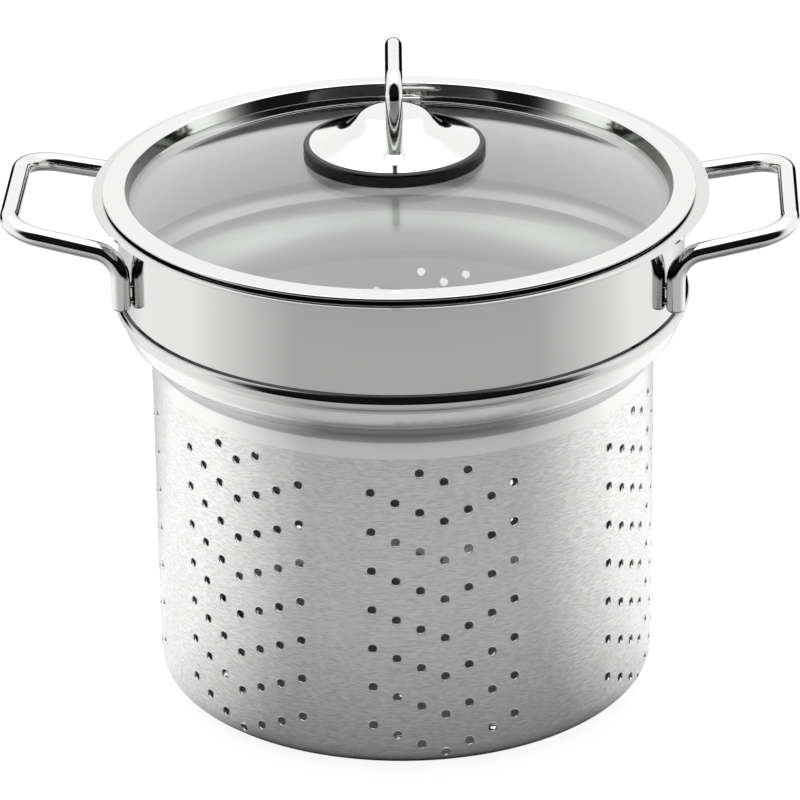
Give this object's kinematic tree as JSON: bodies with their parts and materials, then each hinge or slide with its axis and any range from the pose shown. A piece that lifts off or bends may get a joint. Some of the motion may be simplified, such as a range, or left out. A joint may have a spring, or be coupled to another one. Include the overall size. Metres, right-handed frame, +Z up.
{
  "type": "pasta pot strainer basket with glass lid",
  "caption": "Perforated stainless strainer basket of a pasta pot, with a wide banded rim, two rod side handles and a domed glass lid with a looped knob.",
  "frame": {"origin": "middle of the base, on the face that the basket stands on", "axes": "+Z up along the basket's axis, +X through the middle of the right side handle, -Y towards the viewer of the picture"},
  "size_m": [0.336, 0.2614, 0.2823],
  "materials": {
    "basket_steel": "brushed round the axis",
    "polished_rod": "mirror polished",
    "polished_strip": "mirror polished",
    "clear_glass": "clear tempered",
    "black_moulding": "glossy moulded",
    "turned_steel": "plain",
    "soft_gasket": "matte"
  },
  "bodies": {
    "root": {"strainer_basket": "basket_steel", "side_handle_left": "polished_rod", "side_handle_right": "polished_rod", "lid_rim": "polished_strip", "lid_glass": "clear_glass", "vent_eyelet": "polished_strip", "knob_base": "black_moulding", "knob_plate": "polished_strip", "knob_loop": "polished_rod", "knob_boss": "turned_steel", "knob_screw": "turned_steel", "screw_washer": "turned_steel", "screw_gasket": "soft_gasket"}
  },
  "joints": []
}
